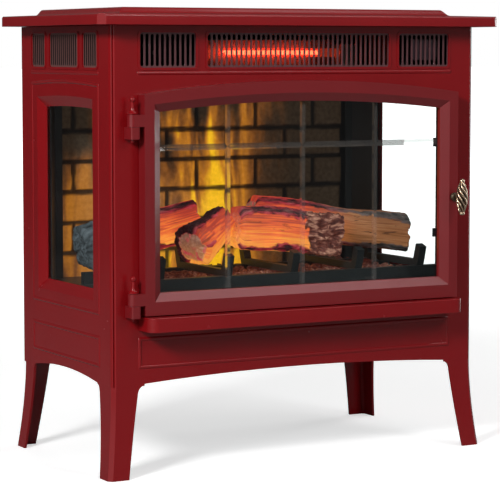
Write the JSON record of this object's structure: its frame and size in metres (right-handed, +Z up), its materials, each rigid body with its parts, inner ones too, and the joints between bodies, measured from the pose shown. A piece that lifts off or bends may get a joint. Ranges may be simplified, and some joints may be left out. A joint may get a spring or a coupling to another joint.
{
  "type": "electric fireplace stove",
  "caption": "Freestanding electric stove with an arched glass door, side windows, log set, flame rotor, quartz heater and blower in a red cabinet on flared legs.",
  "frame": {"origin": "on the floor, under the middle of the whole object's box", "axes": "+Z up, the glass door faces -Y, +X to the right as seen from the front"},
  "size_m": [0.61, 0.349, 0.609],
  "materials": {
    "red_paint": "gloss enamel",
    "grille_paint": "satin dark enamel",
    "black_sheet": "satin black",
    "zinc_steel": "zinc plated",
    "window_glass": "clear",
    "brick": "moulded brick relief",
    "grate_black": "satin black, cast-iron look",
    "embers": "translucent, lit from below",
    "log_bark": "rough painted bark",
    "circuit_board": "solder mask",
    "bright_reflector": "polished",
    "quartz": "glowing quartz",
    "ceramic_white": "unglazed",
    "dark_lens": "infrared window",
    "black_plastic": "moulded",
    "aged_bronze": "aged, polished on the ribs",
    "grey_plastic": "moulded",
    "red_plastic": "moulded"
  },
  "bodies": {
    "root": {"top_panel": "red_paint", "front_panel": "red_paint", "left_side_panel": "red_paint", "right_side_panel": "red_paint", "hearth_ledge": "red_paint", "front_left_leg": "red_paint", "front_right_leg": "red_paint", "rear_left_leg": "red_paint", "rear_right_leg": "red_paint", "hinge_brackets": "red_paint", "hinge_pins": "red_paint", "left_front_grille": "grille_paint", "centre_front_grille": "grille_paint", "right_front_grille": "grille_paint", "left_side_grille": "grille_paint", "right_side_grille": "grille_paint", "rear_panel": "black_sheet", "base_pan": "black_sheet", "left_liner": "black_sheet", "right_liner": "black_sheet", "firebox_floor": "black_sheet", "firebox_ceiling": "black_sheet", "leg_bolts": "zinc_steel", "panel_screws": "zinc_steel", "latch_strike": "zinc_steel", "rotor_supports": "zinc_steel", "rotor_motor": "zinc_steel", "heater_duct": "zinc_steel", "blower_housing": "zinc_steel", "blower_motor": "zinc_steel", "left_window": "window_glass", "right_window": "window_glass", "brick_panel": "brick", "log_grate": "grate_black", "ember_bed": "embers", "left_rear_log": "log_bark", "left_front_log": "log_bark", "centre_log": "log_bark", "right_log": "log_bark", "flame_light_board": "circuit_board", "ember_light_board": "circuit_board", "control_board": "circuit_board", "heater_reflector": "bright_reflector", "quartz_tube": "quartz", "tube_holders": "ceramic_white", "receiver_window": "dark_lens", "control_plate": "black_plastic", "cord_gland": "black_plastic"},
    "door": {"door_frame": "red_paint", "door_glass": "window_glass", "glass_clips": "black_sheet"},
    "handle": {"door_handle": "aged_bronze", "latch_cam": "zinc_steel"},
    "flame_rotor": {"rotor_shaft": "zinc_steel", "rotor_vanes": "bright_reflector"},
    "blower_rotor": {"blower_wheel": "bright_reflector"},
    "left_button": {"left_button": "grey_plastic"},
    "middle_button": {"middle_button": "grey_plastic"},
    "right_button": {"right_button": "grey_plastic"},
    "power_rocker": {"power_rocker": "red_plastic"}
  },
  "joints": [
    {"name": "door_hinge", "type": "hinge", "parent": "root", "child": "door", "pos_m": [-0.254, -0.137, 0.35], "axis": [0, 0, -1], "range_deg": [0, 110]},
    {"name": "handle_turn", "type": "hinge", "parent": "door", "child": "handle", "pos_m": [0.232, -0.144, 0.352], "axis": [0, -1, 0], "range_deg": [0, 90]},
    {"name": "flame_rotor_spin", "type": "hinge", "parent": "root", "child": "flame_rotor", "pos_m": [0, 0.103, 0.186], "axis": [1, 0, 0], "continuous": true},
    {"name": "blower_spin", "type": "hinge", "parent": "root", "child": "blower_rotor", "pos_m": [0, 0.062, 0.55], "axis": [1, 0, 0], "continuous": true},
    {"name": "left_button_press", "type": "slide", "parent": "root", "child": "left_button", "axis": [0, -1, 0], "range_m": [0, 0.002], "stiffness_N_per_m": 300},
    {"name": "middle_button_press", "type": "slide", "parent": "root", "child": "middle_button", "axis": [0, -1, 0], "range_m": [0, 0.002], "stiffness_N_per_m": 300},
    {"name": "right_button_press", "type": "slide", "parent": "root", "child": "right_button", "axis": [0, -1, 0], "range_m": [0, 0.002], "stiffness_N_per_m": 300},
    {"name": "rocker_tilt", "type": "hinge", "parent": "root", "child": "power_rocker", "pos_m": [0.24, 0.1626, 0.548], "axis": [-1, 0, 0], "range_deg": [0, 16]}
  ]
}
